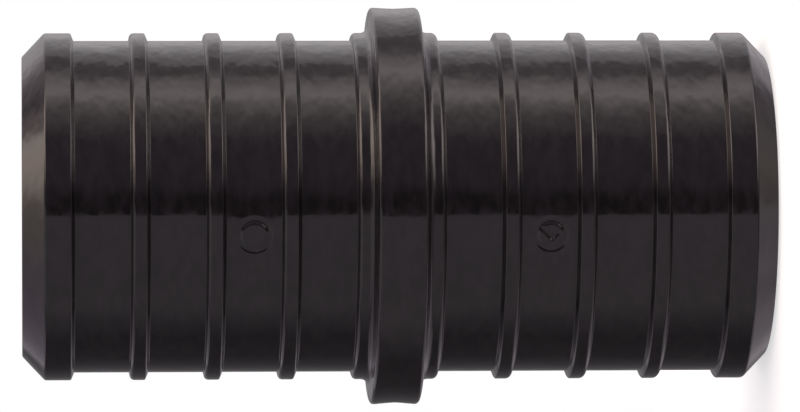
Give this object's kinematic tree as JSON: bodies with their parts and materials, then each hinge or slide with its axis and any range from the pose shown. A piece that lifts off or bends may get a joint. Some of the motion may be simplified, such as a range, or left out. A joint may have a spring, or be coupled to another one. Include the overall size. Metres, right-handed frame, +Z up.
{
  "type": "pex crimp coupling",
  "caption": "Straight moulded plastic coupling for PEX tube, with a ribbed insert at each end, a stop flange in the middle and an open bore.",
  "frame": {"origin": "centre of the lower end face, on the surface that the coupling stands on", "axes": "+Z up along the bore and the two inserts; -X through the gate mark on the flange's rim"},
  "size_m": [0.0252, 0.0252, 0.0472],
  "materials": {
    "moulded_plastic": "black engineering plastic, injection moulded, glossy with faint flow ripple"
  },
  "bodies": {
    "root": {"coupling": "moulded_plastic"}
  },
  "joints": []
}
